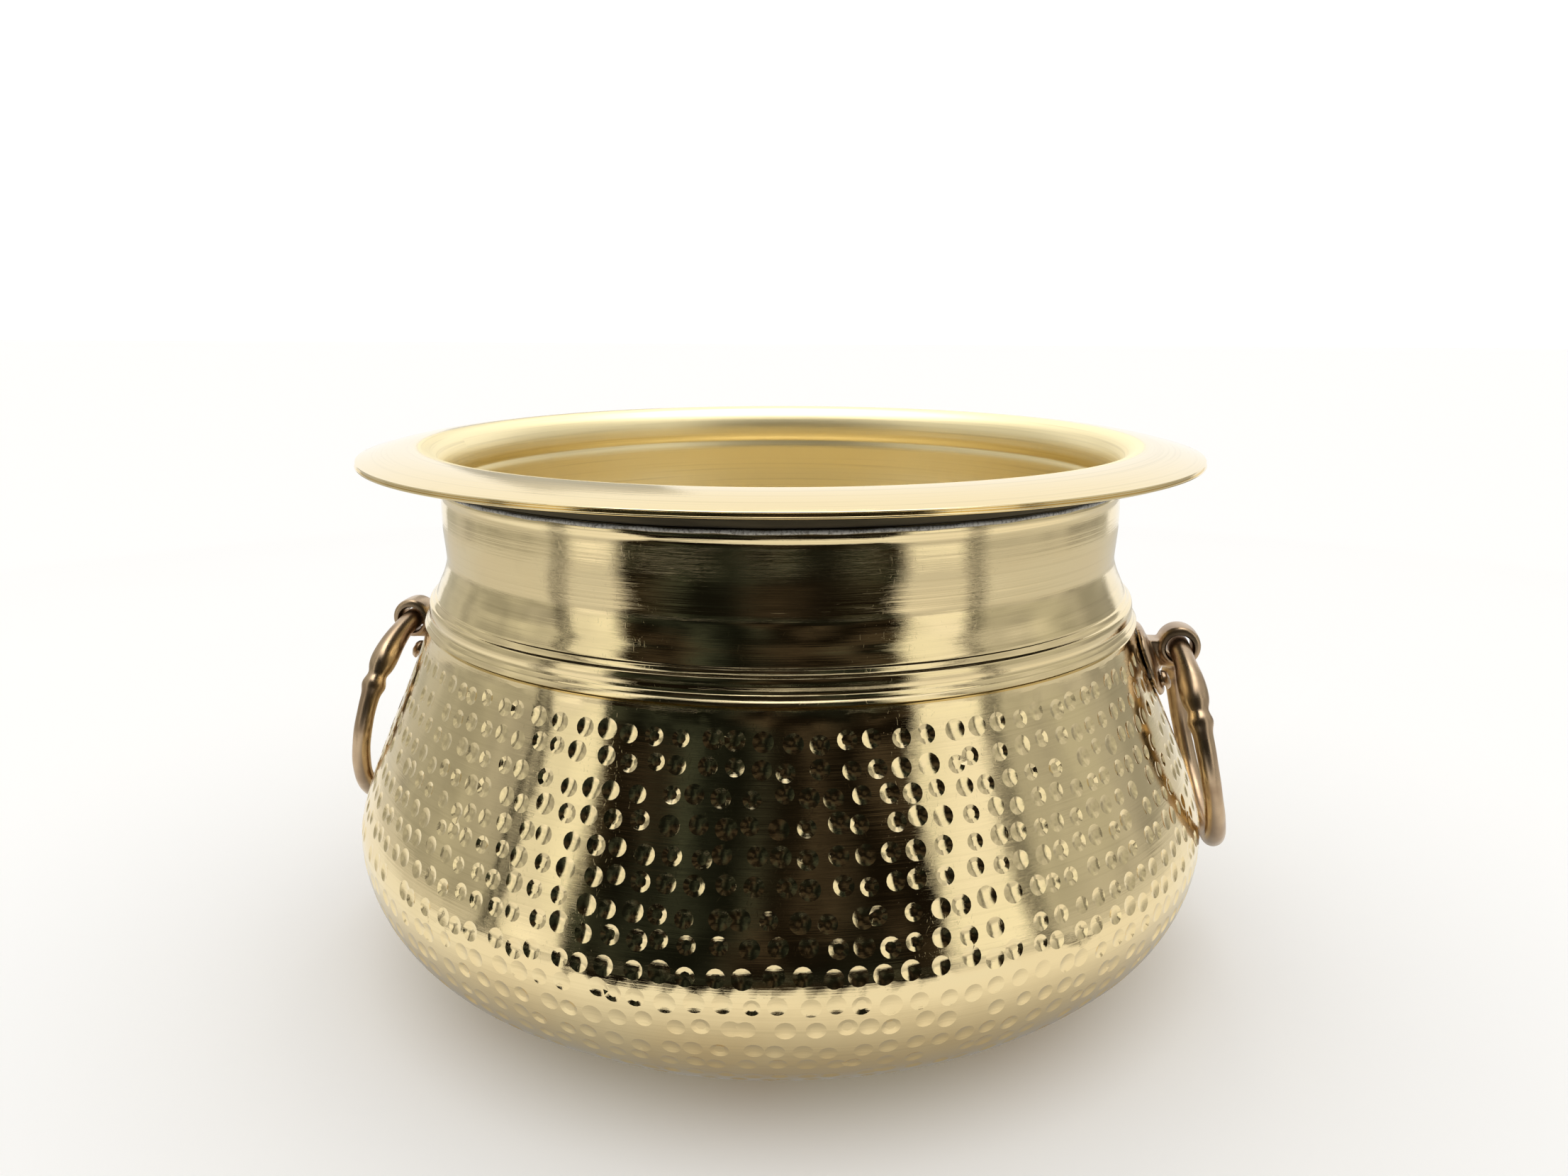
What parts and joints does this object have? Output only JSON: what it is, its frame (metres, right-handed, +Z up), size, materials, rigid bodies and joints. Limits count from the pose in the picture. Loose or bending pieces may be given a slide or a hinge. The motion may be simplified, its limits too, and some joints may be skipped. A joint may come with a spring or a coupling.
{
  "type": "urli bowl",
  "caption": "Wide hammered brass bowl with a spun neck, flared brim and hanging ring handles, for floating flowers, lamps or a plant.",
  "frame": {"origin": "centre of the flat underside, at the lowest point of the bowl", "axes": "+Z up along the bowl's axis, the two ring handles on +X and -X, +Y to the rear"},
  "size_m": [0.3312, 0.3136, 0.1908],
  "materials": {
    "hammered_brass": "polished, hand hammered with small round dimples, fine scratches",
    "spun_brass": "polished on the lathe, fine rings and light scratches",
    "cast_brass": "cast, softly polished and a little tarnished",
    "rivet_brass": "hammered heads",
    "dark_brass": "unpolished, dark with tarnish",
    "solder": "rough bead of grey soft solder"
  },
  "bodies": {
    "vessel": {"lower_bowl": "hammered_brass", "neck_collar": "spun_brass", "brim_underside": "dark_brass", "solder_seam": "solder", "right_lug": "cast_brass", "left_lug": "cast_brass", "right_rivet_front": "rivet_brass", "right_rivet_rear": "rivet_brass", "left_rivet_front": "rivet_brass", "left_rivet_rear": "rivet_brass", "right_burr_front": "rivet_brass", "right_burr_rear": "rivet_brass", "left_burr_front": "rivet_brass", "left_burr_rear": "rivet_brass"},
    "right_handle": {"right_ring": "cast_brass"},
    "left_handle": {"left_ring": "cast_brass"}
  },
  "joints": [
    {"name": "right_ring_swing", "type": "hinge", "parent": "vessel", "child": "right_handle", "pos_m": [0.1465, 0, 0.1168], "axis": [0, -1, 0], "range_deg": [0, 157]},
    {"name": "left_ring_swing", "type": "hinge", "parent": "vessel", "child": "left_handle", "pos_m": [-0.1465, 0, 0.1168], "axis": [0, 1, 0], "range_deg": [0, 157]}
  ]
}
